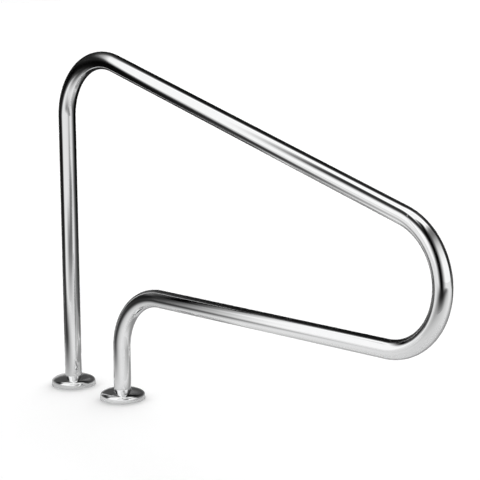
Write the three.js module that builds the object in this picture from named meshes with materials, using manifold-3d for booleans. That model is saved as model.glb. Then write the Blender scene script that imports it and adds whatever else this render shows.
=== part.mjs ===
// Deck-mounted pool handrail: one bent stainless tube whose two legs stand in wedge anchors cast into the
// deck, with a domed escutcheon over each anchor.
//
// Millimetres, +Z up. The origin is on the deck surface, midway between the legs. +X points out over the
// pool, and everything is mirror-symmetric about the X-Z plane.

import * as THREE from 'three';
import { mergeVertices } from 'three/addons/utils/BufferGeometryUtils.js';
import Module from 'manifold-3d';

const wasm = await Module();
wasm.setup();

// Handrail tube
const railHeight = 965; // deck to the top of the first bend
const railLength = 1399; // back of the rear leg to the nose of the pool-end bend
const legSpacing = 219; // between the leg centrelines
const lowerRunHeight = 309; // deck to the centreline of the level lower run
const bendRadius = 165.1; // centreline radius of all three bends
const tubeDiameter = 48.26;
const tubeWall = 1.65;
const tubeSides = 24;
const bendStepAngle = 6; // degrees between the rings of a bend

// Escutcheons
const escutcheonDiameter = 127;
const escutcheonHeight = 28; // deck to the edge of the leg hole
const escutcheonSheet = 1.5;
const escutcheonSkirt = 2; // upright stretch above the deck
const escutcheonWall = 12; // height at which the side wall turns over into the dome
const escutcheonDraft = 5; // degrees that the side wall and the dome are drawn in above the skirt
const escutcheonFullness = 2.4; // exponent of the dome's curve: 2 is an ellipse, more is squarer
const escutcheonFit = 0.4; // radial clearance round the leg
const domeSteps = 9;
const domeSides = 40;

// Anchor sockets
const socketHeight = 101.6;
const socketRecess = 1.5; // deck surface to the socket's top face
const socketWall = 5;
const socketFloor = 6; // ledge that the leg stands on
const socketFit = 0.6; // radial clearance round the leg
const socketSides = 32;
const drainRadius = 16;
const footWidth = 16; // how far the foot flange stands out from the barrel
const footThickness = 6;
const keyRibWidth = 5; // rib round the barrel that locks it into the concrete
const keyRibThickness = 6;
const keyRibDepth = 34; // below the socket's top face
const castRound = 1.5; // bevel on the pocket housing's edges

// Wedge, with its pocket in the socket
const wedgeWidth = 22;
const wedgeHeight = 48;
const wedgeBackWall = 5; // metal between the bolt hole and the wedge's back
const wedgeDrop = 12; // seat to the top of the tightened wedge
const wedgeTravel = 12; // how far the bolt lets the wedge down
const wedgeTipFit = 0.3; // gap to the leg when tight
const wedgeSideFit = 0.5;
const wedgeBackFit = 0.35;
const pocketTaper = 4.5; // degrees that the pocket's back wall and the bolt lean towards the leg
const pocketRoof = 7; // thickness of the lugs that the bolt hangs from
const wedgeSides = 48;

// Wedge bolt and washer
const boltDiameter = 9.525;
const boltLength = 63.5; // under the head
const boltHeadFlats = 14.29;
const boltHeadHeight = 6;
const boltHeadChamfer = 0.9;
const boltTipChamfer = 1.4;
const boltSides = 24;
const threadFit = 0.3; // radial gap between the plain bolt shank and the plain tapped hole
const boltOffset = 36.2; // leg axis to bolt axis, at the washer's seat
const seatDepth = 4; // deck surface down to the washer's seat, on the bolt's axis
const notchFit = 0.8; // radial clearance of the bolt in the notch between the lugs
const washerDiameter = 20.6;
const washerHole = 10.6;
const washerThickness = 1.65;
const washerRimRound = 0.3;
const seatFit = 0.3; // gap between stacked faces
const seatMargin = 1; // spot face round the washer

// Bonding screw, boss and clamp washer
const bondingDepth = 52; // deck surface to the screw's axis
const bossRadius = 9;
const bossLength = 6; // out from the barrel
const screwDiameter = 6.35;
const screwReach = 8; // into the boss
const screwHeadDiameter = 12;
const screwHeadHeight = 4;
const screwSlotWidth = 1.6;
const screwSlotDepth = 1.8;
const screwEdge = 0.6; // chamfer on head and tip
const clampDiameter = 15;
const clampThickness = 1.6;
const clampRim = 1; // width of the clamp washer's raised rim
const clampRimHeight = 1.2;
const screwSides = 24;

// Cuts run past the faces that they open by this much.
const overrun = 1;

// Sizes that follow from the ones above
const degree = Math.PI / 180;
const tubeRadius = tubeDiameter / 2;
const rearLegX = -legSpacing / 2;
const frontLegX = legSpacing / 2;
const boreRadius = tubeRadius + socketFit;
const barrelRadius = boreRadius + socketWall;
const socketTop = -socketRecess;
const socketBottom = socketTop - socketHeight;
const legBottom = socketBottom + socketFloor + seatFit;
const pocketHalfWidth = wedgeWidth / 2 + wedgeSideFit;
const boltRadius = boltDiameter / 2;
const tappedRadius = boltRadius + threadFit;
const wedgeBack = tappedRadius + wedgeBackWall; // bolt axis to the wedge's back face
const screwRadius = screwDiameter / 2;

const stainless = { color: 0xd7d9da, roughness: 0.08, metalness: 1 };
const bronze = { color: 0x9a7042, roughness: 0.45, metalness: 0.9 };
const brass = { color: 0xb8924a, roughness: 0.3, metalness: 0.95 };
const steel = { color: 0xb4b6b8, roughness: 0.25, metalness: 1 };

// Geometry helpers

function toSolid(geometry) {
  const bare = geometry.clone();
  bare.deleteAttribute('normal');
  bare.deleteAttribute('uv');
  const merged = mergeVertices(bare);
  const vertProperties = new Float32Array(merged.attributes.position.array);
  const triVerts = new Uint32Array(merged.index.array);
  return new wasm.Manifold(new wasm.Mesh({ numProp: 3, vertProperties, triVerts }));
}

function toGeometry(solid) {
  const mesh = solid.getMesh();
  const positions = new Float32Array(mesh.vertProperties);
  const geometry = new THREE.BufferGeometry();
  geometry.setAttribute('position', new THREE.BufferAttribute(positions, mesh.numProp));
  geometry.setIndex(new THREE.BufferAttribute(new Uint32Array(mesh.triVerts), 1));
  geometry.computeVertexNormals();
  return geometry;
}

function combine(base, { add = [], cut = [] }) {
  let solid = toSolid(base);
  for (const geometry of add) {
    solid = solid.add(toSolid(geometry));
  }
  for (const geometry of cut) {
    solid = solid.subtract(toSolid(geometry));
  }
  return toGeometry(solid);
}

// A body of revolution about +Z. The outline lists [radius, height] from the bottom up.
function turned(outline, sides) {
  const points = outline.map(([radius, height]) => new THREE.Vector2(radius, height));
  return new THREE.LatheGeometry(points, sides).rotateX(Math.PI / 2);
}

function cylinder(radius, bottom, top, sides) {
  return turned([[0, bottom], [radius, bottom], [radius, top], [0, top]], sides);
}

// A block between two corners of its side view, [x, z], as wide on either side of the X-Z plane.
function slab([lowX, lowZ], [highX, highZ], halfWidth, bevel = 0) {
  const outline = new THREE.Shape([
    new THREE.Vector2(lowX, lowZ),
    new THREE.Vector2(highX, lowZ),
    new THREE.Vector2(highX, highZ),
    new THREE.Vector2(lowX, highZ),
  ]);
  const geometry = new THREE.ExtrudeGeometry(outline, {
    depth: halfWidth + halfWidth - bevel - bevel,
    bevelEnabled: bevel > 0,
    bevelThickness: bevel,
    bevelSize: bevel,
    bevelOffset: -bevel,
    bevelSegments: 2,
  });
  return geometry.translate(0, 0, bevel - halfWidth).rotateX(Math.PI / 2);
}

function hexagon(flats, bottom, top) {
  const cornerRadius = flats / Math.sqrt(3);
  return cylinder(cornerRadius, bottom, top, 6);
}

function addMesh(parent, name, geometry, finish) {
  const mesh = new THREE.Mesh(geometry, new THREE.MeshStandardMaterial(finish));
  mesh.name = name;
  parent.add(mesh);
  return mesh;
}

// Handrail tube

// The centreline, given as the stations where the tube's rings stand.
class TubePath extends THREE.Curve {
  constructor(stations) {
    super();
    this.stations = stations;
  }

  getPoint(share) {
    return this.stationAt(share).point.clone();
  }

  getPointAt(share) {
    return this.getPoint(share);
  }

  getTangentAt(share) {
    return this.stationAt(share).direction.clone();
  }

  stationAt(share) {
    return this.stations[Math.round(share * (this.stations.length - 1))];
  }
}

// Walks the centreline in the X-Z plane, as a bending machine feeds it: a straight run, then a turn about a
// point one bend radius to the side. Headings are measured from +X towards +Z, and a negative turn is
// clockwise as seen from -Y.
function bendTube(start, startHeading, feeds) {
  const along = (heading) => new THREE.Vector3(Math.cos(heading), 0, Math.sin(heading));
  const point = start.clone();
  let heading = startHeading;
  const stations = [{ point: point.clone(), direction: along(heading) }];
  for (const { straight, turn } of feeds) {
    point.addScaledVector(along(heading), straight);
    stations.push({ point: point.clone(), direction: along(heading) });
    if (turn === 0) {
      continue;
    }
    const towardsCentre = along(heading + Math.sign(turn) * Math.PI / 2);
    const centre = point.clone().addScaledVector(towardsCentre, bendRadius);
    const count = Math.ceil(Math.abs(turn) / (bendStepAngle * degree));
    for (let step = 1; step <= count; step += 1) {
      const bearing = heading + turn * step / count;
      const outward = along(bearing - Math.sign(turn) * Math.PI / 2);
      point.copy(centre).addScaledVector(outward, bendRadius);
      stations.push({ point: point.clone(), direction: along(bearing) });
    }
    heading += turn;
  }
  return stations;
}

function handrailTube() {
  const firstCentreX = rearLegX + bendRadius;
  const firstCentreZ = railHeight - tubeRadius - bendRadius;
  const poolCentreX = rearLegX + railLength - tubeDiameter - bendRadius;
  const poolCentreZ = lowerRunHeight + bendRadius;
  const slope = Math.atan2(firstCentreZ - poolCentreZ, poolCentreX - firstCentreX);
  const upperRun = Math.hypot(firstCentreZ - poolCentreZ, poolCentreX - firstCentreX);
  const stations = bendTube(new THREE.Vector3(rearLegX, 0, legBottom), Math.PI / 2, [
    { straight: firstCentreZ - legBottom, turn: -(Math.PI / 2 + slope) },
    { straight: upperRun, turn: -(Math.PI - slope) },
    { straight: poolCentreX - bendRadius - frontLegX, turn: Math.PI / 2 },
    { straight: lowerRunHeight - bendRadius - legBottom, turn: 0 },
  ]);
  const circle = (radius) => Array.from({ length: tubeSides }, (_, side) => {
    const angle = 2 * Math.PI * side / tubeSides;
    return new THREE.Vector2(radius * Math.cos(angle), radius * Math.sin(angle));
  });
  const section = new THREE.Shape(circle(tubeRadius));
  section.holes.push(new THREE.Path(circle(tubeRadius - tubeWall)));
  return new THREE.ExtrudeGeometry(section, {
    steps: stations.length - 1,
    extrudePath: new TubePath(stations),
  });
}

// Escutcheons

// One side of the domed sheet, from the rim up to the leg hole: an upright skirt, a side wall with some draft,
// and a superellipse over it.
function domeOutline(rimRadius, holeRadius, height) {
  const power = 2 / escutcheonFullness;
  const lean = Math.tan(escutcheonDraft * degree);
  const holeReach = holeRadius + (height - escutcheonSkirt) * lean;
  const holeAngle = Math.acos((holeReach / rimRadius) ** (1 / power));
  const rise = (height - escutcheonWall) / Math.sin(holeAngle) ** power;
  const outline = [[rimRadius, 0], [rimRadius, escutcheonSkirt]];
  for (let step = 0; step <= domeSteps; step += 1) {
    const angle = holeAngle * step / domeSteps;
    const level = escutcheonWall + rise * Math.sin(angle) ** power;
    const radius = rimRadius * Math.cos(angle) ** power;
    outline.push([radius - (level - escutcheonSkirt) * lean, level]);
  }
  return outline;
}

function escutcheon() {
  const rimRadius = escutcheonDiameter / 2;
  const holeRadius = tubeRadius + escutcheonFit;
  const outside = domeOutline(rimRadius, holeRadius, escutcheonHeight);
  const inside = domeOutline(rimRadius - escutcheonSheet, holeRadius, escutcheonHeight - escutcheonSheet);
  return turned([...outside, ...inside.reverse(), outside[0]], domeSides);
}

// Wedge anchors. Each is built about its own leg axis, with the pocket on the -X side, away from the pool.

// A group whose +Z is the bolt's axis, leaning towards the leg, with its zero at the washer's seat.
function boltFrame() {
  const frame = new THREE.Group();
  frame.position.set(-boltOffset, 0, -seatDepth);
  frame.rotation.y = pocketTaper * degree;
  frame.updateMatrix();
  return frame;
}

function socket() {
  const bolt = boltFrame().matrix;
  const pocketTop = -pocketRoof;
  const pocketBottom = -wedgeDrop - wedgeHeight - wedgeTravel - wedgeBackWall;
  const pocketBack = -wedgeBack - wedgeBackFit;
  const pocketLow = [pocketBack, pocketBottom];
  const pocket = slab(pocketLow, [boltOffset, pocketTop], pocketHalfWidth).applyMatrix4(bolt);

  // The housing is the pocket grown by a wall, trimmed level with the barrel's top.
  const housingTop = seatDepth + socketWall;
  const housing = slab(
    [pocketBack - socketWall, pocketBottom - socketWall],
    [boltOffset, housingTop],
    pocketHalfWidth + socketWall,
    castRound,
  ).applyMatrix4(bolt);
  const aboveTop = cylinder(barrelRadius + boltOffset, socketTop, housingTop + overrun, socketSides);

  const washerSeat = cylinder(washerDiameter / 2 + seatMargin, 0, housingTop, boltSides).applyMatrix4(bolt);
  const notchRadius = boltRadius + notchFit;
  const notch = combine(cylinder(notchRadius, pocketTop - overrun, overrun, boltSides), {
    add: [slab([0, pocketTop - overrun], [boltOffset, overrun], notchRadius)],
  }).applyMatrix4(bolt);

  const ribTop = socketTop - keyRibDepth;
  const boss = cylinder(bossRadius, 0, barrelRadius + bossLength, screwSides);
  const tappedHole = cylinder(
    screwRadius + threadFit,
    barrelRadius + bossLength - screwReach - overrun,
    barrelRadius + bossLength + overrun,
    screwSides,
  );
  const alongPool = (geometry) => geometry.rotateY(Math.PI / 2).translate(0, 0, -bondingDepth);

  return combine(cylinder(barrelRadius, socketBottom, socketTop, socketSides), {
    add: [
      housing,
      cylinder(barrelRadius + footWidth, socketBottom, socketBottom + footThickness, socketSides),
      cylinder(barrelRadius + keyRibWidth, ribTop - keyRibThickness, ribTop, socketSides),
      alongPool(boss),
    ],
    cut: [
      aboveTop,
      cylinder(boreRadius, socketBottom + socketFloor, overrun, socketSides),
      cylinder(drainRadius, socketBottom - overrun, socketBottom + socketFloor + overrun, socketSides),
      pocket,
      notch,
      washerSeat,
      alongPool(tappedHole),
    ],
  });
}

function wedge() {
  const bolt = boltFrame().matrix;
  const top = -wedgeDrop;
  const bottom = top - wedgeHeight;
  const block = slab([-wedgeBack, bottom], [boltOffset, top], wedgeWidth / 2).applyMatrix4(bolt);
  const tapped = cylinder(tappedRadius, bottom - overrun, top + overrun, boltSides).applyMatrix4(bolt);
  const leg = cylinder(tubeRadius + wedgeTipFit, socketBottom, seatDepth, wedgeSides);

  // Past the horns, where the wedge's sides meet the leg, nothing of the block is left.
  const hornX = -Math.sqrt((tubeRadius + wedgeTipFit) ** 2 - (wedgeWidth / 2) ** 2);
  const pastHorns = slab([hornX, socketBottom], [boltOffset, seatDepth], wedgeWidth / 2 + overrun);
  return combine(block, { cut: [tapped, leg, pastHorns] });
}

// In the bolt's frame.
function wedgeBolt() {
  const underHead = washerThickness + seatFit + seatFit;
  const headTop = underHead + boltHeadHeight;
  const tip = underHead - boltLength;
  const shank = turned([
    [0, tip],
    [boltRadius - boltTipChamfer, tip],
    [boltRadius, tip + boltTipChamfer],
    [boltRadius, underHead + overrun],
    [0, underHead + overrun],
  ], boltSides);
  const head = toSolid(hexagon(boltHeadFlats, underHead, headTop));
  const cornerRadius = boltHeadFlats / Math.sqrt(3);
  const flatRadius = boltHeadFlats / 2;
  const turnedBlank = turned([
    [0, underHead],
    [cornerRadius, underHead],
    [cornerRadius, headTop - boltHeadChamfer],
    [flatRadius, headTop],
    [0, headTop],
  ], boltSides);
  return toGeometry(head.intersect(toSolid(turnedBlank)).add(toSolid(shank)));
}

function washer() {
  const bottom = seatFit;
  const top = bottom + washerThickness;
  const rim = washerDiameter / 2;
  const hole = washerHole / 2;
  return turned([
    [hole, bottom],
    [rim, bottom],
    [rim, top - washerRimRound],
    [rim - washerRimRound, top],
    [hole, top],
    [hole, bottom],
  ], boltSides);
}

// In a frame whose +Z points out of the boss, with its zero at the boss's face.
function bondingScrew() {
  const underHead = clampThickness + seatFit + seatFit;
  const headTop = underHead + screwHeadHeight;
  const headRadius = screwHeadDiameter / 2;
  const blank = turned([
    [0, -screwReach],
    [screwRadius - screwEdge, -screwReach],
    [screwRadius, screwEdge - screwReach],
    [screwRadius, underHead],
    [headRadius, underHead],
    [headRadius, headTop - screwEdge],
    [headRadius - screwEdge, headTop],
    [0, headTop],
  ], screwSides);
  const slotEnd = headRadius + overrun;
  const slot = slab([-slotEnd, headTop - screwSlotDepth], [slotEnd, headTop + overrun], screwSlotWidth / 2);
  return combine(blank, { cut: [slot] });
}

// A washer with a raised rim, which keeps the bonding wire under the screw's head.
function clampWasher() {
  const bottom = seatFit;
  const top = bottom + clampThickness;
  const rim = clampDiameter / 2;
  const hole = screwRadius + threadFit;
  return turned([
    [hole, bottom],
    [rim, bottom],
    [rim, top + clampRimHeight],
    [rim - clampRim, top + clampRimHeight],
    [rim - clampRim, top],
    [hole, top],
    [hole, bottom],
  ], screwSides);
}

function legFittings(side, legX) {
  const leg = new THREE.Group();
  leg.position.x = legX;
  addMesh(leg, `${side}_escutcheon`, escutcheon(), stainless);
  addMesh(leg, `${side}_anchor_socket`, socket(), bronze);
  addMesh(leg, `${side}_wedge`, wedge(), bronze);

  const bolt = boltFrame();
  addMesh(bolt, `${side}_wedge_bolt`, wedgeBolt(), steel);
  addMesh(bolt, `${side}_wedge_washer`, washer(), steel);
  leg.add(bolt);

  const boss = new THREE.Group();
  boss.position.set(barrelRadius + bossLength, 0, -bondingDepth);
  boss.rotation.y = Math.PI / 2;
  addMesh(boss, `${side}_bonding_screw`, bondingScrew(), brass);
  addMesh(boss, `${side}_bonding_washer`, clampWasher(), brass);
  leg.add(boss);
  return leg;
}

const handrail = new THREE.Group();
addMesh(handrail, 'handrail_tube', handrailTube(), stainless);
handrail.add(legFittings('rear', rearLegX));
handrail.add(legFittings('front', frontLegX));

export default handrail;
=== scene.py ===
"""Pool handrail: a polished bent tube on two legs, with domed escutcheons over wedge anchors in the deck."""

import math

import bmesh
import bpy
from mathutils import Matrix, Vector


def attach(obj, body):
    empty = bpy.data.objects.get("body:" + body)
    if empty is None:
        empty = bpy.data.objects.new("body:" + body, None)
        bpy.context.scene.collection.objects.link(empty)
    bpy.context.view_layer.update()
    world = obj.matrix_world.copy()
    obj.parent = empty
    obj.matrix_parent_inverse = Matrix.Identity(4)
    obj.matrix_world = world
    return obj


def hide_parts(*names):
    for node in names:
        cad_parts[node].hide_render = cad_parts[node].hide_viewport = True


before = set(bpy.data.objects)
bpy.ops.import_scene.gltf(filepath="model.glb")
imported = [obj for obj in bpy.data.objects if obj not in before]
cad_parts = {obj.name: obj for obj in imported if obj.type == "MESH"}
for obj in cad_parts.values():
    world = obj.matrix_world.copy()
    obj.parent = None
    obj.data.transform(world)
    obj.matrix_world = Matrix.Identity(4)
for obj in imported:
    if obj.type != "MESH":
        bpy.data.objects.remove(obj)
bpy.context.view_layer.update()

MM = 0.001
FULL_TURN = 2 * math.pi
QUARTER_TURN = math.pi / 2

# Handrail, in millimetres as all sizes of the object are
RAIL_HEIGHT = 965
RAIL_LENGTH = 1399
LEG_SPACING = 219
LOWER_RUN_HEIGHT = 309
BEND_RADIUS = 165.1
TUBE_RADIUS = 24.13
TUBE_WALL = 1.65
SKIN_RADIUS = 24.05
LEG_BOTTOM = -96.8
TUBE_SIDES = 96
BEND_STEP = math.radians(1.5)
STRAIGHT_STEP = 60
LEGS = {"rear": -LEG_SPACING / 2, "front": LEG_SPACING / 2}

# Escutcheons
RIM_RADIUS = 63.5
HOLE_RADIUS = 24.53
DOME_HEIGHT = 28
DOME_SHEET = 1.5
DOME_SKIRT = 2
DOME_WALL = 12
DOME_DRAFT = math.radians(5)
DOME_FULLNESS = 2.4
WALL_STEPS = 6
DOME_STEPS = 28
DOME_SIDES = 144
RIM_ROUND = 0.6
LIP_ROUND = 0.6

# Anchor sockets
SOCKET_TOP = -1.5
SOCKET_BOTTOM = -103.1
SOCKET_FLOOR = 6
BORE_RADIUS = 24.73
BARREL_RADIUS = 29.73
DRAIN_RADIUS = 16
FOOT_RADIUS = 45.73
FOOT_THICKNESS = 6
RIB_RADIUS = 34.73
RIB_TOP = -35.5
RIB_BOTTOM = -41.5
BOSS_RADIUS = 9
BOSS_FACE = 35.73
BOSS_DEPTH = 52
BOSS_FLARE = 3
CAST_EDGE = 1.5
CAST_FILLET = 3
BLOCK_EDGE = 3
BORE_CHAMFER = 0.8
SOCKET_SIDES = 120

# Wedge pockets, in the bolt's frame, whose zero is the washer's seat
BOLT_OFFSET = 36.2
SEAT_DEPTH = 4
POCKET_TAPER = math.radians(4.5)
POCKET_BACK = -10.41
POCKET_BOTTOM = -77
POCKET_TOP = -7
POCKET_HALF_WIDTH = 11.5
POCKET_WALL = 5
HOUSING_TOP = 9
SEAT_RADIUS = 11.3
NOTCH_RADIUS = 5.56

# Wedges
WEDGE_BACK = -10.06
WEDGE_TOP = -12
WEDGE_BOTTOM = -60
WEDGE_HALF_WIDTH = 11
WEDGE_EDGE = 1.2
TAPPED_RADIUS = 5.06
LEG_GROOVE_RADIUS = 24.43

# Wedge bolts and washers
BOLT_RADIUS = 4.76
BOLT_PITCH = 1.5875
BOLT_UNDER_HEAD = 2.25
BOLT_TIP = -61.25
BOLT_TIP_CHAMFER = 1.4
BOLT_COLLAR_RADIUS = 6.6
BOLT_COLLAR = 0.4
HEAD_HALF_FLATS = 7.145
HEAD_TOP = 8.25
HEAD_CIRCLE = 6.8
HEAD_CHAMFER_SLOPE = math.tan(math.radians(30))
HEAD_ROWS = 8
WASHER_HOLE = 5.3
WASHER_RIM = 10.3
WASHER_BOTTOM = 0.3
WASHER_TOP = 1.95

# Bonding screws and their clamp washers, in a frame whose zero is the boss's face
SCREW_RADIUS = 3.17
SCREW_PITCH = 1.27
SCREW_TIP = -8
SCREW_TIP_CHAMFER = 0.75
SCREW_UNDER_HEAD = 2.2
SCREW_HEAD_RADIUS = 6
SCREW_HEAD_TOP = 6.2
SCREW_HEAD_ROUND = 1
SLOT_HALF_WIDTH = 0.8
SLOT_FLOOR = 4.4
CLAMP_HOLE = 3.48
CLAMP_RIM = 7.5
CLAMP_BOTTOM = 0.3
CLAMP_TOP = 1.9
CLAMP_RIM_TOP = 3.1
CLAMP_RIM_WIDTH = 1

# Small parts
THREAD_DEPTH_SHARE = 0.6
THREAD_ROWS = 10
CREST_SHARE = 0.18
ROOT_SHARE = 0.22
SMALL_EDGE = 0.25
SMALL_SIDES = 48
HEX_SIDES = 6
ROUND_STEPS = 5
ROUND_PROFILE = 0.5
OVERRUN = 1
SAME_PLACE = 0.0002
SHARP_ANGLE = math.radians(35)

BOLT_FRAME = Matrix.Translation((-BOLT_OFFSET, 0, -SEAT_DEPTH)) @ Matrix.Rotation(POCKET_TAPER, 4, "Y")
BOSS_AXIS = Matrix.Translation((0, 0, -BOSS_DEPTH)) @ Matrix.Rotation(QUARTER_TURN, 4, "Y")
BOSS_FRAME = Matrix.Translation((BOSS_FACE, 0, 0)) @ BOSS_AXIS


# Node helpers

MIX_FIRST_COLOUR, MIX_SECOND_COLOUR = 6, 7
MIX_COLOUR = 2


def new_material(name):
    material = bpy.data.materials.new(name)
    material.use_nodes = True
    shader = material.node_tree.nodes["Principled BSDF"]
    return material, material.node_tree, shader


def add_node(tree, kind, inputs=None, **settings):
    node = tree.nodes.new(kind)
    for key, value in settings.items():
        setattr(node, key, value)
    for key, value in (inputs or {}).items():
        if isinstance(value, bpy.types.NodeSocket):
            tree.links.new(value, node.inputs[key])
        else:
            node.inputs[key].default_value = value
    return node


def noise(tree, vector, pattern):
    scale, detail, roughness = pattern
    node = add_node(tree, "ShaderNodeTexNoise",
                    {"Vector": vector, "Scale": scale, "Detail": detail, "Roughness": roughness})
    return node.outputs["Fac"]


def remap(tree, value, span, spread=(0.0, 1.0)):
    """The value's spread, stretched over the span."""
    node = add_node(tree, "ShaderNodeMapRange",
                    {"Value": value, "From Min": spread[0], "From Max": spread[1],
                     "To Min": span[0], "To Max": span[1]})
    return node.outputs["Result"]


def smooth_step(tree, value, none, full):
    """0 at one end and 1 at the other."""
    node = add_node(tree, "ShaderNodeMapRange",
                    {"Value": value, "From Min": none, "From Max": full, "To Min": 0.0, "To Max": 1.0},
                    interpolation_type="SMOOTHSTEP")
    return node.outputs["Result"]


def blend_colours(tree, share, first, second):
    node = add_node(tree, "ShaderNodeMix", {0: share}, data_type="RGBA")
    node.inputs[MIX_FIRST_COLOUR].default_value = first
    node.inputs[MIX_SECOND_COLOUR].default_value = second
    return node.outputs[MIX_COLOUR]


def calculate(tree, operation, first, second):
    node = add_node(tree, "ShaderNodeMath", {0: first, 1: second}, operation=operation)
    return node.outputs[0]


def bump(tree, height, distance, normal=None):
    inputs = {"Height": height, "Distance": distance, "Strength": 1.0}
    if normal is not None:
        inputs["Normal"] = normal
    return add_node(tree, "ShaderNodeBump", inputs).outputs["Normal"]


# Materials. Each pattern is the noise's scale in a metre, its detail and its roughness. Depths are in metres.

BELT_STRETCH = (1.0, 0.06, 0.06)
BELT_RINGS = (2600.0, 2.0, 0.7)
BELT_DEPTH = 0.0000012
POLISH_HAZE = (34.0, 4.0, 0.6)
TUBE_WAVES = (16.0, 1.0, 0.4)
WAVE_DEPTH = 0.00004
STEEL_ROUGHNESS, STEEL_SPREAD = (0.02, 0.06), (0.1, 0.5)
STEEL_COLOURS = (0.90, 0.905, 0.91, 1), (0.96, 0.962, 0.965, 1)

CAST_PATCHES = (38.0, 5.0, 0.6)
CAST_SAND = (900.0, 3.0, 0.6)
CAST_PITS = (260.0, 4.0, 0.65)
SAND_DEPTH = 0.00025
PIT_DEPTH = 0.0005
PATCH_SPREAD = (0.35, 0.65)
BRONZE_ROUGHNESS, PIT_SPREAD = (0.32, 0.62), (0.3, 0.7)
BRONZE_COLOURS = (0.33, 0.19, 0.08, 1), (0.55, 0.36, 0.17, 1)
BRONZE_METALLIC = 0.9

LATHE_STRETCH = (0.05, 0.05, 1.0)
LATHE_LINES = (5200.0, 2.0, 0.7)
LATHE_DEPTH = 0.00002
LATHE_STAINS = (220.0, 4.0, 0.6)
LATHE_SPREAD = (0.6, 1.4)
FASTENER_COLOURS = (0.55, 0.55, 0.54, 1), (0.7, 0.7, 0.69, 1)
FASTENER_ROUGHNESS = (0.18, 0.34)
BRASS_COLOURS = (0.62, 0.43, 0.17, 1), (0.78, 0.58, 0.28, 1)
BRASS_ROUGHNESS = (0.2, 0.4)


def polished_stainless():
    """Mirror-polished steel. The "polish" vector runs along the length, then round the section."""
    material, tree, shader = new_material("polished_stainless")
    along = add_node(tree, "ShaderNodeAttribute", attribute_name="polish").outputs["Vector"]
    belt = add_node(tree, "ShaderNodeMapping", {"Vector": along, "Scale": BELT_STRETCH}).outputs[0]
    rings = noise(tree, belt, BELT_RINGS)
    haze = noise(tree, along, POLISH_HAZE)
    shine = calculate(tree, "MULTIPLY", rings, haze)
    tree.links.new(remap(tree, shine, STEEL_ROUGHNESS, STEEL_SPREAD), shader.inputs["Roughness"])
    tree.links.new(blend_colours(tree, haze, *STEEL_COLOURS), shader.inputs["Base Color"])
    normal = bump(tree, noise(tree, along, TUBE_WAVES), WAVE_DEPTH)
    tree.links.new(bump(tree, rings, BELT_DEPTH, normal), shader.inputs["Normal"])
    shader.inputs["Metallic"].default_value = 1.0
    return material


def cast_bronze():
    material, tree, shader = new_material("cast_bronze")
    place = add_node(tree, "ShaderNodeTexCoord").outputs["Object"]
    patches = remap(tree, noise(tree, place, CAST_PATCHES), (0.0, 1.0), PATCH_SPREAD)
    pits = noise(tree, place, CAST_PITS)
    tree.links.new(blend_colours(tree, patches, *BRONZE_COLOURS), shader.inputs["Base Color"])
    tree.links.new(remap(tree, pits, BRONZE_ROUGHNESS, PIT_SPREAD), shader.inputs["Roughness"])
    normal = bump(tree, noise(tree, place, CAST_SAND), SAND_DEPTH)
    tree.links.new(bump(tree, pits, PIT_DEPTH, normal), shader.inputs["Normal"])
    shader.inputs["Metallic"].default_value = BRONZE_METALLIC
    return material


def turned_metal(name, colours, roughness):
    """Metal with the fine lines of a lathe round its own Z."""
    material, tree, shader = new_material(name)
    place = add_node(tree, "ShaderNodeTexCoord").outputs["Object"]
    cuts = add_node(tree, "ShaderNodeMapping", {"Vector": place, "Scale": LATHE_STRETCH}).outputs[0]
    lines = noise(tree, cuts, LATHE_LINES)
    stains = noise(tree, place, LATHE_STAINS)
    tree.links.new(blend_colours(tree, stains, *colours), shader.inputs["Base Color"])
    wear = calculate(tree, "ADD", lines, stains)
    tree.links.new(remap(tree, wear, roughness, LATHE_SPREAD), shader.inputs["Roughness"])
    tree.links.new(bump(tree, lines, LATHE_DEPTH), shader.inputs["Normal"])
    shader.inputs["Metallic"].default_value = 1.0
    return material


# Shapes, in millimetres about their own axis

def rounded(corners):
    """An outline through corners of (radius, height), or (radius, height, how far its rounding cuts back)."""
    places = [Vector(corner[:2]) for corner in corners]
    outline = []
    for index, corner in enumerate(corners):
        place = places[index]
        if len(corner) == 2:
            outline.append(place)
            continue
        cut = corner[2]
        start = place + (places[index - 1] - place).normalized() * cut
        end = place + (places[(index + 1) % len(corners)] - place).normalized() * cut
        for step in range(ROUND_STEPS + 1):
            share = step / ROUND_STEPS
            outline.append(start.lerp(place, share).lerp(place.lerp(end, share), share))
    return outline


def closed_mesh(points, faces, polish=None):
    mesh = bpy.data.meshes.new("shape")
    mesh.from_pydata(points, [], faces)
    if polish:
        mark = mesh.attributes.new("polish", "FLOAT_VECTOR", "POINT")
        mark.data.foreach_set("vector", [value * MM for triple in polish for value in triple])
    shape = bmesh.new()
    shape.from_mesh(mesh)
    bmesh.ops.recalc_face_normals(shape, faces=shape.faces)
    shape.to_mesh(mesh)
    shape.free()
    return mesh


def distinct(outline):
    """The outline without points that repeat the one before, or repeat the first one at its end."""
    kept = [place for index, place in enumerate(outline)
            if not index or math.dist(place, outline[index - 1]) > SAME_PLACE]
    return kept[:-1] if math.dist(kept[0], kept[-1]) < SAME_PLACE else kept


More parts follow.
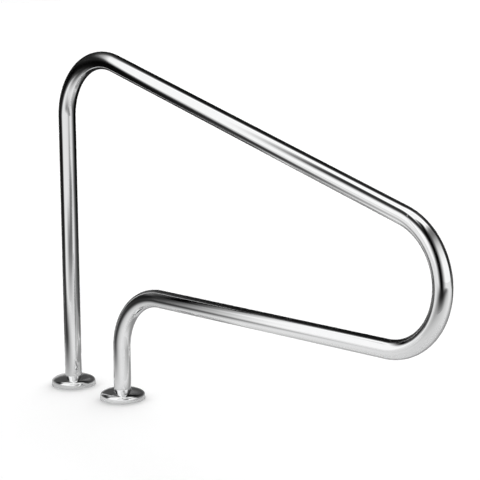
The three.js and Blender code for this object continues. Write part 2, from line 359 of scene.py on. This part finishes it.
def turned(outline, sides, trim=None):
    """A solid turned about Z from an outline of (radius, height) that ends on the axis, or is a ring."""
    outline = distinct(outline)
    points, polish, rings = [], [], []
    length = 0.0
    for index, (radius, height) in enumerate(outline):
        if index:
            length += math.dist(outline[index], outline[index - 1])
        first = len(points)
        count = sides if radius else 1
        for side in range(count):
            angle = FULL_TURN * side / sides
            reach = trim(radius, height, angle) if trim else radius
            points.append((reach * math.cos(angle), reach * math.sin(angle), height))
            polish.append((length, reach * math.cos(angle), reach * math.sin(angle)))
        rings.append(list(range(first, first + count)))
    pairs = list(zip(rings, rings[1:]))
    if outline[0][0]:
        pairs.append((rings[-1], rings[0]))
    faces = []
    for lower, upper in pairs:
        for side in range(sides):
            following = (side + 1) % sides
            if len(lower) == 1:
                faces.append((lower[0], upper[following], upper[side]))
            elif len(upper) == 1:
                faces.append((lower[side], lower[following], upper[0]))
            else:
                faces.append((lower[side], lower[following], upper[following], upper[side]))
    return closed_mesh(points, faces, polish)


def cylinder(radius, low, high, sides=SMALL_SIDES):
    return turned([(0, low), (radius, low), (radius, high), (0, high)], sides)


def block(low, high, edge=0):
    """A box between two corners, its edges rounded."""
    shape = bmesh.new()
    size = Vector(high) - Vector(low)
    middle = (Vector(high) + Vector(low)) / 2
    bmesh.ops.create_cube(shape, matrix=Matrix.Translation(middle) @ Matrix.Diagonal((*size, 1)))
    if edge:
        bmesh.ops.bevel(shape, geom=shape.edges[:], offset=edge, segments=ROUND_STEPS,
                        profile=ROUND_PROFILE, affect="EDGES")
    mesh = bpy.data.meshes.new("block")
    shape.to_mesh(mesh)
    shape.free()
    return mesh


def moved(mesh, place):
    mesh.transform(place)
    return mesh


def combine(base, add=(), cut=()):
    """One solid: the base with the added shapes, less the cut ones, its points that coincide joined."""
    body = bpy.data.objects.new("solid", base)
    made = [body]
    bpy.context.scene.collection.objects.link(body)
    for operation, shapes in (("UNION", add), ("DIFFERENCE", cut)):
        for shape in shapes:
            tool = bpy.data.objects.new("tool", shape)
            bpy.context.scene.collection.objects.link(tool)
            made.append(tool)
            step = body.modifiers.new("step", "BOOLEAN")
            step.operation = operation
            step.solver = "MANIFOLD"
            step.object = tool
    graph = bpy.context.evaluated_depsgraph_get()
    mesh = bpy.data.meshes.new_from_object(body.evaluated_get(graph))
    for item in made:
        bpy.data.objects.remove(item)
    shape = bmesh.new()
    shape.from_mesh(mesh)
    bmesh.ops.remove_doubles(shape, verts=shape.verts, dist=SAME_PLACE)
    shape.to_mesh(mesh)
    shape.free()
    return mesh


def add_piece(name, mesh, place, material, body, slot, *nodes):
    """A mesh in millimetres becomes a piece of the object, in place of its CAD nodes."""
    mesh.transform(Matrix.Scale(MM, 4))
    mesh.materials.clear()
    mesh.materials.append(material)
    mesh.shade_smooth()
    mesh.set_sharp_from_angle(angle=SHARP_ANGLE)
    mesh.name = name
    piece = bpy.data.objects.new(name, mesh)
    bpy.context.scene.collection.objects.link(piece)
    piece.matrix_world = Matrix.Translation(place.translation * MM) @ place.to_3x3().to_4x4()
    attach(piece, body)
    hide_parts(*nodes)


# Handrail

def tube_stations():
    """[(point, heading, length so far)] along the centreline, as the bending machine feeds the tube."""
    first_x = LEGS["rear"] + BEND_RADIUS
    first_z = RAIL_HEIGHT - TUBE_RADIUS - BEND_RADIUS
    pool_x = LEGS["rear"] + RAIL_LENGTH - 2 * TUBE_RADIUS - BEND_RADIUS
    pool_z = LOWER_RUN_HEIGHT + BEND_RADIUS
    slope = math.atan2(first_z - pool_z, pool_x - first_x)
    upper_run = math.hypot(first_z - pool_z, pool_x - first_x)
    feeds = [
        (first_z - LEG_BOTTOM, -(QUARTER_TURN + slope)),
        (upper_run, -(math.pi - slope)),
        (pool_x - BEND_RADIUS - LEGS["front"], QUARTER_TURN),
        (LOWER_RUN_HEIGHT - BEND_RADIUS - LEG_BOTTOM, 0),
    ]
    heading, length = QUARTER_TURN, 0.0
    point = Vector((LEGS["rear"], 0, LEG_BOTTOM))
    stations = [(point.copy(), heading, length)]
    for straight, turn in feeds:
        count = math.ceil(straight / STRAIGHT_STEP)
        for _ in range(count):
            point = point + Vector((math.cos(heading), 0, math.sin(heading))) * (straight / count)
            length += straight / count
            stations.append((point.copy(), heading, length))
        count = math.ceil(abs(turn) / BEND_STEP)
        for _ in range(count):
            chord = 2 * BEND_RADIUS * math.sin(abs(turn) / count / 2)
            middle = heading + turn / count / 2
            point = point + Vector((math.cos(middle), 0, math.sin(middle))) * chord
            heading += turn / count
            length += BEND_RADIUS * abs(turn) / count
            stations.append((point.copy(), heading, length))
    return stations


def handrail_mesh():
    """The hollow tube: its outer skin, its inner skin, and the two cut ends."""
    points, polish, faces = [], [], []
    stations = tube_stations()
    for radius in (SKIN_RADIUS, SKIN_RADIUS - TUBE_WALL):
        for centre, heading, length in stations:
            out = Vector((-math.sin(heading), 0, math.cos(heading)))
            for side in range(TUBE_SIDES):
                angle = FULL_TURN * side / TUBE_SIDES
                across, aside = radius * math.cos(angle), radius * math.sin(angle)
                points.append(centre + out * across + Vector((0, aside, 0)))
                polish.append((length, across, aside))
    inner = len(stations) * TUBE_SIDES
    last = inner - TUBE_SIDES
    for side in range(TUBE_SIDES):
        following = (side + 1) % TUBE_SIDES
        for ring in range(0, last, TUBE_SIDES):
            a, b = ring + side, ring + following
            faces.append((a, b, b + TUBE_SIDES, a + TUBE_SIDES))
            faces.append((inner + a, inner + a + TUBE_SIDES, inner + b + TUBE_SIDES, inner + b))
        faces.append((side, inner + side, inner + following, following))
        faces.append((last + side, last + following, inner + last + following, inner + last + side))
    return closed_mesh(points, faces, polish)


# Escutcheons

def dome_line(rim, hole, height):
    """The sheet from its skirt up to the leg hole: a side wall and a superellipse, both leaning inwards."""
    lean = math.tan(DOME_DRAFT)
    power = 2 / DOME_FULLNESS
    hole_angle = math.acos(((hole + (height - DOME_SKIRT) * lean) / rim) ** (1 / power))
    rise = (height - DOME_WALL) / math.sin(hole_angle) ** power
    line = [(rim, DOME_SKIRT + (DOME_WALL - DOME_SKIRT) * step / WALL_STEPS) for step in range(WALL_STEPS)]
    for step in range(DOME_STEPS + 1):
        angle = hole_angle * (step / DOME_STEPS)
        line.append((rim * math.cos(angle) ** power, DOME_WALL + rise * math.sin(angle) ** power))
    return [(radius - (level - DOME_SKIRT) * lean, level) for radius, level in line]


def escutcheon_mesh():
    inner_rim = RIM_RADIUS - DOME_SHEET
    outside = dome_line(RIM_RADIUS, HOLE_RADIUS + LIP_ROUND, DOME_HEIGHT)
    inside = dome_line(inner_rim, HOLE_RADIUS + LIP_ROUND, DOME_HEIGHT - DOME_SHEET)
    (_, top), (_, under) = outside[-1], inside[-1]
    lip = rounded([outside[-1], (HOLE_RADIUS, top, LIP_ROUND), (HOLE_RADIUS, under, LIP_ROUND), inside[-1]])
    rim = rounded([(inner_rim, RIM_ROUND), (inner_rim, 0, RIM_ROUND),
                   (RIM_RADIUS, 0, RIM_ROUND), (RIM_RADIUS, RIM_ROUND)])
    return turned([*outside, *lip[1:-1], *reversed(inside), *rim[1:]], DOME_SIDES)


# Wedge anchors

def housing_block():
    """In the bolt's frame: the solid block round the wedge pocket."""
    outer = POCKET_HALF_WIDTH + POCKET_WALL
    return block((POCKET_BACK - POCKET_WALL, -outer, POCKET_BOTTOM - POCKET_WALL),
                 (BOLT_OFFSET, outer, HOUSING_TOP + BLOCK_EDGE), BLOCK_EDGE)


def socket_mesh():
    bottom, step = SOCKET_BOTTOM, SOCKET_BOTTOM + FOOT_THICKNESS
    barrel = turned(rounded([
        (0, bottom),
        (FOOT_RADIUS, bottom, CAST_EDGE),
        (FOOT_RADIUS, step, CAST_EDGE),
        (BARREL_RADIUS, step, CAST_FILLET),
        (BARREL_RADIUS, RIB_BOTTOM, CAST_EDGE),
        (RIB_RADIUS, RIB_BOTTOM, CAST_EDGE),
        (RIB_RADIUS, RIB_TOP, CAST_EDGE),
        (BARREL_RADIUS, RIB_TOP, CAST_EDGE),
        (BARREL_RADIUS, SOCKET_TOP, SMALL_EDGE),
        (0, SOCKET_TOP),
    ]), SOCKET_SIDES)
    boss = turned(rounded([
        (0, 0),
        (BOSS_RADIUS + BOSS_FLARE, 0),
        (BOSS_RADIUS + BOSS_FLARE, BARREL_RADIUS - BOSS_FLARE),
        (BOSS_RADIUS, BARREL_RADIUS + BOSS_FLARE),
        (BOSS_RADIUS, BOSS_FACE, SMALL_EDGE),
        (0, BOSS_FACE),
    ]), SMALL_SIDES)
    above = cylinder(BARREL_RADIUS + BOLT_OFFSET, SOCKET_TOP, HOUSING_TOP + BOLT_OFFSET, SOCKET_SIDES)
    ledge = bottom + SOCKET_FLOOR
    bore = turned([
        (0, ledge),
        (BORE_RADIUS, ledge),
        (BORE_RADIUS, SOCKET_TOP - BORE_CHAMFER),
        (BORE_RADIUS + BORE_CHAMFER, SOCKET_TOP),
        (BORE_RADIUS + BORE_CHAMFER, OVERRUN),
        (0, OVERRUN),
    ], SOCKET_SIDES)
    drain = turned([
        (0, bottom - OVERRUN),
        (DRAIN_RADIUS + BORE_CHAMFER, bottom - OVERRUN),
        (DRAIN_RADIUS + BORE_CHAMFER, bottom),
        (DRAIN_RADIUS, bottom + BORE_CHAMFER),
        (DRAIN_RADIUS, ledge + OVERRUN),
        (0, ledge + OVERRUN),
    ], SOCKET_SIDES)
    pocket = block((POCKET_BACK, -POCKET_HALF_WIDTH, POCKET_BOTTOM),
                   (BOLT_OFFSET, POCKET_HALF_WIDTH, POCKET_TOP))
    seat = cylinder(SEAT_RADIUS, 0, HOUSING_TOP + OVERRUN)
    notch = cylinder(NOTCH_RADIUS, POCKET_TOP - OVERRUN, OVERRUN)
    throat = block((0, -NOTCH_RADIUS, POCKET_TOP - OVERRUN), (BOLT_OFFSET, NOTCH_RADIUS, OVERRUN))
    tapped = turned([
        (0, SCREW_TIP - OVERRUN),
        (CLAMP_HOLE, SCREW_TIP - OVERRUN),
        (CLAMP_HOLE, -BORE_CHAMFER),
        (CLAMP_HOLE + BORE_CHAMFER, 0),
        (CLAMP_HOLE + BORE_CHAMFER, OVERRUN),
        (0, OVERRUN),
    ], SMALL_SIDES)
    return combine(
        barrel,
        add=[moved(housing_block(), BOLT_FRAME), moved(boss, BOSS_AXIS)],
        cut=[above, bore, drain, moved(tapped, BOSS_FRAME)]
        + [moved(shape, BOLT_FRAME) for shape in (pocket, seat, notch, throat)],
    )


def wedge_mesh():
    """In the bolt's frame: a block with a hollow face for the leg and a tapped hole."""
    body = block((WEDGE_BACK, -WEDGE_HALF_WIDTH, WEDGE_BOTTOM),
                 (BOLT_OFFSET, WEDGE_HALF_WIDTH, WEDGE_TOP), WEDGE_EDGE)
    hole = turned([
        (0, WEDGE_BOTTOM - OVERRUN),
        (TAPPED_RADIUS + BORE_CHAMFER, WEDGE_BOTTOM - OVERRUN),
        (TAPPED_RADIUS + BORE_CHAMFER, WEDGE_BOTTOM),
        (TAPPED_RADIUS, WEDGE_BOTTOM + BORE_CHAMFER),
        (TAPPED_RADIUS, WEDGE_TOP - BORE_CHAMFER),
        (TAPPED_RADIUS + BORE_CHAMFER, WEDGE_TOP),
        (TAPPED_RADIUS + BORE_CHAMFER, WEDGE_TOP + OVERRUN),
        (0, WEDGE_TOP + OVERRUN),
    ], SMALL_SIDES)
    leg = cylinder(LEG_GROOVE_RADIUS, SOCKET_BOTTOM, SEAT_DEPTH, SOCKET_SIDES)
    horn = -math.sqrt(LEG_GROOVE_RADIUS ** 2 - WEDGE_HALF_WIDTH ** 2)
    wide = WEDGE_HALF_WIDTH + OVERRUN
    past_horns = block((horn, -wide, SOCKET_BOTTOM), (BOLT_OFFSET, wide, SEAT_DEPTH))
    to_bolt = BOLT_FRAME.inverted()
    return combine(body, cut=[hole, moved(leg, to_bolt), moved(past_horns, to_bolt)])


def threaded(major, pitch, high):
    """A trim that winds a V thread round a shank and lets it run out just below a height."""
    depth = pitch * THREAD_DEPTH_SHARE
    flank = 1 - CREST_SHARE - ROOT_SHARE

    def trim(radius, height, angle):
        phase = (height / pitch - angle / FULL_TURN) % 1
        from_crest = abs(2 * phase - 1)
        share = min(max((from_crest - CREST_SHARE) / flank, 0), 1)
        fade = min(max((high - height) / pitch, 0), 1)
        return min(radius, major - depth * share * fade)
    return trim


def thread_rows(radius, low, high, pitch):
    count = math.ceil((high - low) / pitch * THREAD_ROWS)
    return [(radius, low + (high - low) * row / count) for row in range(count + 1)]


def hexagon_reach(angle):
    sector = FULL_TURN / HEX_SIDES
    return HEAD_HALF_FLATS / math.cos((angle + sector / 2) % sector - sector / 2)


def bolt_mesh():
    """In the bolt's frame: a fully threaded hexagon bolt."""
    thread = threaded(BOLT_RADIUS, BOLT_PITCH, BOLT_UNDER_HEAD - BOLT_PITCH)
    corner = hexagon_reach(FULL_TURN / HEX_SIDES / 2)
    collar = BOLT_UNDER_HEAD + BOLT_COLLAR
    chamfer_low = HEAD_TOP - (corner - HEAD_CIRCLE) * HEAD_CHAMFER_SLOPE
    outline = [(0, BOLT_TIP), (BOLT_RADIUS - BOLT_TIP_CHAMFER, BOLT_TIP)]
    outline += thread_rows(BOLT_RADIUS, BOLT_TIP + BOLT_TIP_CHAMFER, BOLT_UNDER_HEAD, BOLT_PITCH)
    outline += [(BOLT_COLLAR_RADIUS, BOLT_UNDER_HEAD), (BOLT_COLLAR_RADIUS, collar)]
    outline += [(corner - SMALL_EDGE, collar), (corner, collar + SMALL_EDGE)]
    for row in range(HEAD_ROWS + 1):
        share = row / HEAD_ROWS
        outline.append((corner + (HEAD_CIRCLE - corner) * share,
                        chamfer_low + (HEAD_TOP - chamfer_low) * share))
    outline += [(HEAD_CIRCLE - SMALL_EDGE, HEAD_TOP), (0, HEAD_TOP)]

    def trim(radius, height, angle):
        if radius <= BOLT_RADIUS:
            return thread(radius, height, angle)
        if height < collar or radius <= BOLT_COLLAR_RADIUS:
            return radius
        return min(radius, hexagon_reach(angle))
    return turned(outline, SMALL_SIDES, trim)


def washer_mesh():
    return turned(rounded([
        (WASHER_HOLE, WASHER_BOTTOM, SMALL_EDGE),
        (WASHER_RIM, WASHER_BOTTOM, SMALL_EDGE),
        (WASHER_RIM, WASHER_TOP, SMALL_EDGE),
        (WASHER_HOLE, WASHER_TOP, SMALL_EDGE),
    ]), DOME_SIDES)


def bonding_screw_mesh():
    outline = [(0, SCREW_TIP), (SCREW_RADIUS - SCREW_TIP_CHAMFER, SCREW_TIP)]
    outline += thread_rows(SCREW_RADIUS, SCREW_TIP + SCREW_TIP_CHAMFER, SCREW_UNDER_HEAD, SCREW_PITCH)
    outline += rounded([
        (SCREW_RADIUS, SCREW_UNDER_HEAD),
        (SCREW_HEAD_RADIUS, SCREW_UNDER_HEAD, SMALL_EDGE),
        (SCREW_HEAD_RADIUS, SCREW_HEAD_TOP, SCREW_HEAD_ROUND),
        (0, SCREW_HEAD_TOP),
    ])[1:]
    thread = threaded(SCREW_RADIUS, SCREW_PITCH, SCREW_UNDER_HEAD - SCREW_PITCH)

    def trim(radius, height, angle):
        on_shank = radius <= SCREW_RADIUS and height < SCREW_HEAD_TOP
        return thread(radius, height, angle) if on_shank else radius
    blank = turned(outline, SMALL_SIDES, trim)
    reach = SCREW_HEAD_RADIUS + OVERRUN
    slot = block((-reach, -SLOT_HALF_WIDTH, SLOT_FLOOR), (reach, SLOT_HALF_WIDTH, SCREW_HEAD_TOP + OVERRUN))
    return combine(blank, cut=[slot])


def clamp_washer_mesh():
    inner_rim = CLAMP_RIM - CLAMP_RIM_WIDTH
    return turned(rounded([
        (CLAMP_HOLE, CLAMP_BOTTOM, SMALL_EDGE),
        (CLAMP_RIM, CLAMP_BOTTOM, SMALL_EDGE),
        (CLAMP_RIM, CLAMP_RIM_TOP, SMALL_EDGE),
        (inner_rim, CLAMP_RIM_TOP, SMALL_EDGE),
        (inner_rim, CLAMP_TOP, SMALL_EDGE),
        (CLAMP_HOLE, CLAMP_TOP, SMALL_EDGE),
    ]), DOME_SIDES)


# Studio: the deck, in millimetres

DECK_SIZE = 60000
DECK_THICKNESS = 120
DIP_RADIUS = 56
DIP_GAP = 0.1

# The floor's look and the cards, in metres and in shades as they are seen
FLOOR_SHADE = 0.98
FLOOR_GLOW = 0.09
REFLECTED_FLOOR = 0.91
METAL_TO_FLOOR = 0.1
SHADOW_REACH = 0.06
LYING_HEIGHT = 0.002
EDGE_REACH = 3.6
GAMMA = 2.2

# The sky: its lowest and highest strength, and where its bright band begins and is full
SKY_STRENGTH = (0.05, 3.97)
SKY_ALL_ROUND = 0.4
SKY_BEHIND = (0.25, 0.85)
SKY_RISE = (0.08, 0.25)
SKY_FALL = (0.85, 0.5)

# The camera, in metres, its lens and sensor in millimetres
CAMERA_BEARING = math.radians(45.84)
CAMERA_TILT = math.radians(10)
CAMERA_ROLL = math.radians(-0.39)
CAMERA_PLACE = (3.51951, -2.84998, 1.23004)
CAMERA_LENS = 122.66
CAMERA_SENSOR = 36.0
CAMERA_CLIP = (0.05, 200.0)


def add_stage_piece(name, mesh, material):
    mesh.materials.clear()
    mesh.materials.append(material)
    piece = bpy.data.objects.new(name, mesh)
    bpy.context.scene.collection.objects.link(piece)
    return piece


def flat_mesh(name, half_width, half_height):
    mesh = bpy.data.meshes.new(name)
    corners = [(-half_width, -half_height, 0), (half_width, -half_height, 0),
               (half_width, half_height, 0), (-half_width, half_height, 0)]
    mesh.from_pydata(corners, [], [(0, 1, 2, 3)])
    return mesh


def deck_mesh():
    """A slab cast round the sockets, with a dip under each escutcheon that bares the socket's top."""
    half = DECK_SIZE / 2
    cuts = []
    for leg_x in LEGS.values():
        leg_place = Matrix.Translation((leg_x, 0, 0))
        cuts.append(moved(cylinder(DIP_RADIUS, SOCKET_TOP - DIP_GAP, OVERRUN, SOCKET_SIDES), leg_place))
        shaft = cylinder(BARREL_RADIUS, -DECK_THICKNESS - OVERRUN, OVERRUN, SOCKET_SIDES)
        cuts.append(moved(shaft, leg_place))
        cuts.append(moved(housing_block(), leg_place @ BOLT_FRAME))
    deck = combine(block((-half, -half, -DECK_THICKNESS), (half, half, 0)), cut=cuts)
    deck.shade_flat()
    return moved(deck, Matrix.Scale(MM, 4))


def first_sight(tree, path):
    """1 for a ray that has met no matt surface, and little for one that reaches the floor off the metal."""
    return remap(tree, path.outputs["Diffuse Depth"], (1.0, METAL_TO_FLOOR))


def add_floor():
    """White, with the object's shadow. Reflections see its plain level, and the shadow near the legs."""
    material, tree, shader = new_material("studio_floor")
    shader.inputs["Base Color"].default_value = (FLOOR_SHADE, FLOOR_SHADE, FLOOR_SHADE, 1)
    shader.inputs["Roughness"].default_value = 1.0
    shader.inputs["Specular IOR Level"].default_value = 0.0
    shader.inputs["Emission Color"].default_value = (1, 1, 1, 1)
    path = add_node(tree, "ShaderNodeLightPath")
    glow = remap(tree, path.outputs["Is Camera Ray"], (0.0, FLOOR_GLOW))
    tree.links.new(glow, shader.inputs["Emission Strength"])
    level = REFLECTED_FLOOR ** GAMMA
    plain = add_node(tree, "ShaderNodeEmission",
                     {"Color": (level, level, level, 1), "Strength": first_sight(tree, path)})
    place = add_node(tree, "ShaderNodeTexCoord").outputs["Object"]
    legs = [add_node(tree, "ShaderNodeVectorMath", {0: place, 1: (leg_x * MM, 0, 0)},
                     operation="DISTANCE").outputs["Value"] for leg_x in LEGS.values()]
    nearest = calculate(tree, "MINIMUM", *legs)
    away = smooth_step(tree, nearest, RIM_RADIUS * MM, RIM_RADIUS * MM + SHADOW_REACH)
    mirrored = calculate(tree, "MULTIPLY", path.outputs["Is Glossy Ray"], away)
    mix = add_node(tree, "ShaderNodeMixShader", {0: mirrored, 1: shader.outputs[0], 2: plain.outputs[0]})
    tree.links.new(mix.outputs[0], tree.nodes["Material Output"].inputs["Surface"])
    add_stage_piece("studio_floor", deck_mesh(), material)


def soft_side(tree, distance, half, edge):
    """1 within half of the middle, fading to 0 over the soft edge."""
    away = add_node(tree, "ShaderNodeMath", {0: distance}, operation="ABSOLUTE").outputs[0]
    reach = edge * EDGE_REACH
    node = add_node(tree, "ShaderNodeMapRange",
                    {"Value": away, "From Min": half - reach, "From Max": half + reach,
                     "To Min": 1.0, "To Max": 0.0}, interpolation_type="SMOOTHSTEP")
    return node.outputs["Result"]


def add_card(name, x, y, turn, width, height, shade, edge, low=None):
    """A soft-edged card that only reflections see. It stands with its foot at low, or lies on the floor."""
    material = bpy.data.materials.new(name)
    material.use_nodes = True
    tree = material.node_tree
    tree.nodes.clear()
    place = add_node(tree, "ShaderNodeTexCoord").outputs["Object"]
    split = add_node(tree, "ShaderNodeSeparateXYZ", {0: place})
    cover = calculate(tree, "MULTIPLY", soft_side(tree, split.outputs[0], width / 2, edge),
                      soft_side(tree, split.outputs[1], height / 2, edge))
    clear = add_node(tree, "ShaderNodeBsdfTransparent")
    level = shade ** GAMMA
    light = add_node(tree, "ShaderNodeEmission", {"Color": (level, level, level, 1), "Strength": 1.0})
    mix = add_node(tree, "ShaderNodeMixShader", {0: cover, 1: clear.outputs[0], 2: light.outputs[0]})
    output = add_node(tree, "ShaderNodeOutputMaterial")
    tree.links.new(mix.outputs[0], output.inputs["Surface"])
    margin = edge * EDGE_REACH
    card = add_stage_piece(name, flat_mesh(name, width / 2 + margin, height / 2 + margin), material)
    if low is None:
        card.location = (x, y, LYING_HEIGHT)
        card.rotation_euler = (0, 0, math.radians(turn))
    else:
        card.location = (x, y, low + height / 2)
        card.rotation_euler = (QUARTER_TURN, 0, math.radians(turn))
    card.visible_camera = False
    card.visible_diffuse = False
    card.visible_shadow = False


def add_world():
    """White wherever it is seen. Its light comes mostly from low behind the object, for a soft shadow."""
    world = bpy.data.worlds.new("studio")
    bpy.context.scene.world = world
    world.use_nodes = True
    tree = world.node_tree
    path = add_node(tree, "ShaderNodeLightPath")
    heading = add_node(tree, "ShaderNodeTexCoord").outputs["Generated"]
    height = add_node(tree, "ShaderNodeSeparateXYZ", {0: heading}).outputs[2]
    behind = (-math.sin(CAMERA_BEARING), math.cos(CAMERA_BEARING), 0)
    ahead = add_node(tree, "ShaderNodeVectorMath", {0: heading, 1: behind},
                     operation="DOT_PRODUCT").outputs["Value"]
    across = remap(tree, smooth_step(tree, ahead, *SKY_BEHIND), (SKY_ALL_ROUND, 1.0))
    upright = calculate(tree, "MULTIPLY", smooth_step(tree, height, *SKY_RISE),
                        smooth_step(tree, height, *SKY_FALL))
    lit = remap(tree, calculate(tree, "MULTIPLY", across, upright), SKY_STRENGTH)
    seen = calculate(tree, "ADD", path.outputs["Is Camera Ray"], path.outputs["Is Glossy Ray"])
    seen = calculate(tree, "MAXIMUM", seen, path.outputs["Is Transmission Ray"])
    strength = add_node(tree, "ShaderNodeMix", {0: seen, 2: lit, 3: first_sight(tree, path)}).outputs[0]
    background = tree.nodes["Background"]
    background.inputs["Color"].default_value = (1, 1, 1, 1)
    tree.links.new(strength, background.inputs["Strength"])


def add_camera():
    turn = Matrix.Rotation(CAMERA_BEARING, 3, "Z")
    right = turn @ Vector((1, 0, 0))
    ahead = turn @ Vector((0, math.cos(CAMERA_TILT), -math.sin(CAMERA_TILT)))
    up = turn @ Vector((0, math.sin(CAMERA_TILT), math.cos(CAMERA_TILT)))
    x_axis = right * math.cos(CAMERA_ROLL) + up * math.sin(CAMERA_ROLL)
    y_axis = up * math.cos(CAMERA_ROLL) - right * math.sin(CAMERA_ROLL)
    place_x, place_y, place_z = CAMERA_PLACE
    data = bpy.data.cameras.new("camera")
    data.lens = CAMERA_LENS
    data.sensor_width = CAMERA_SENSOR
    data.clip_start, data.clip_end = CAMERA_CLIP
    camera = bpy.data.objects.new("camera", data)
    bpy.context.scene.collection.objects.link(camera)
    camera.matrix_world = Matrix((
        (x_axis.x, y_axis.x, -ahead.x, place_x),
        (x_axis.y, y_axis.y, -ahead.y, place_y),
        (x_axis.z, y_axis.z, -ahead.z, place_z),
        (0, 0, 0, 1),
    ))
    bpy.context.scene.camera = camera


# Assembly

add_camera()
add_world()
add_floor()
add_card("far_wall", x=1.691, y=1.683, turn=34.6, width=5.983, height=2.765,
         shade=0.104, edge=0.200, low=0.058)
add_card("left_flag", x=-0.366, y=-0.372, turn=57.2, width=1.418, height=0.759,
         shade=0.000, edge=0.103, low=0.542)
add_card("gap_flag", x=1.584, y=-0.635, turn=42.4, width=0.748, height=2.907,
         shade=0.062, edge=0.082, low=0.096)
add_card("upper_flag", x=1.636, y=-0.965, turn=-27.1, width=2.672, height=0.800,
         shade=0.183, edge=0.047, low=1.010)
add_card("low_far_wall", x=-0.291, y=1.006, turn=-16.8, width=3.077, height=0.981,
         shade=0.279, edge=0.200, low=-0.046)
add_card("low_left_flag", x=-0.560, y=-0.445, turn=-78.7, width=1.056, height=0.871,
         shade=0.169, edge=0.089, low=0.026)
add_card("right_flag", x=2.169, y=0.733, turn=-82.8, width=4.101, height=1.695,
         shade=0.474, edge=0.200, low=1.576)
add_card("upper_left_flag", x=0.061, y=2.300, turn=87.1, width=4.959, height=0.082,
         shade=0.152, edge=0.014, low=0.942)
add_card("left_wall", x=-0.313, y=0.110, turn=84.9, width=0.405, height=0.425,
         shade=0.298, edge=0.012, low=0.078)
add_card("narrow_flag", x=0.876, y=-0.799, turn=70.4, width=1.126, height=3.506,
         shade=0.890, edge=0.107, low=0.494)
add_card("floor_edge", x=-3.260, y=-2.448, turn=-56.3, width=0.938, height=7.684,
         shade=0.232, edge=0.117)
add_card("floor_far", x=1.612, y=3.529, turn=-22.3, width=2.285, height=7.184,
         shade=0.603, edge=0.126)
# A painted shadow: a grey sheet lying round the legs that reflections see in place of the object's shadow on
# the floor
add_card("painted_floor_shadow", x=0.036, y=0.207, turn=-7.7, width=0.478, height=0.555,
         shade=0.554, edge=0.025)
add_card("floor_front", x=2.650, y=-1.204, turn=-68.9, width=1.781, height=4.331,
         shade=0.404, edge=0.261)

steel = polished_stainless()
bronze = cast_bronze()
fastener = turned_metal("fastener_stainless", FASTENER_COLOURS, FASTENER_ROUGHNESS)
brass = turned_metal("bonding_brass", BRASS_COLOURS, BRASS_ROUGHNESS)

add_piece("handrail", handrail_mesh(), Matrix(), steel, "rail", "polished_stainless", "handrail_tube")
for leg, leg_x in LEGS.items():
    leg_place = Matrix.Translation((leg_x, 0, 0))
    bolt_place = leg_place @ BOLT_FRAME
    boss_place = leg_place @ BOSS_FRAME
    add_piece(leg + "_dome", escutcheon_mesh(), leg_place, steel,
              leg + "_escutcheon", "polished_stainless", leg + "_escutcheon")
    add_piece(leg + "_socket", socket_mesh(), leg_place, bronze,
              "anchors", "cast_bronze", leg + "_anchor_socket")
    add_piece(leg + "_wedge_block", wedge_mesh(), bolt_place, bronze,
              leg + "_wedge", "cast_bronze", leg + "_wedge")
    add_piece(leg + "_hex_bolt", bolt_mesh(), bolt_place, fastener,
              leg + "_bolt", "fastener_stainless", leg + "_wedge_bolt")
    add_piece(leg + "_bolt_washer", washer_mesh(), bolt_place, fastener,
              leg + "_bolt", "fastener_stainless", leg + "_wedge_washer")
    add_piece(leg + "_slotted_screw", bonding_screw_mesh(), boss_place, brass,
              "anchors", "bonding_brass", leg + "_bonding_screw")
    add_piece(leg + "_clamp_washer", clamp_washer_mesh(), boss_place, brass,
              "anchors", "bonding_brass", leg + "_bonding_washer")

bpy.context.scene.view_settings.view_transform = "Standard"
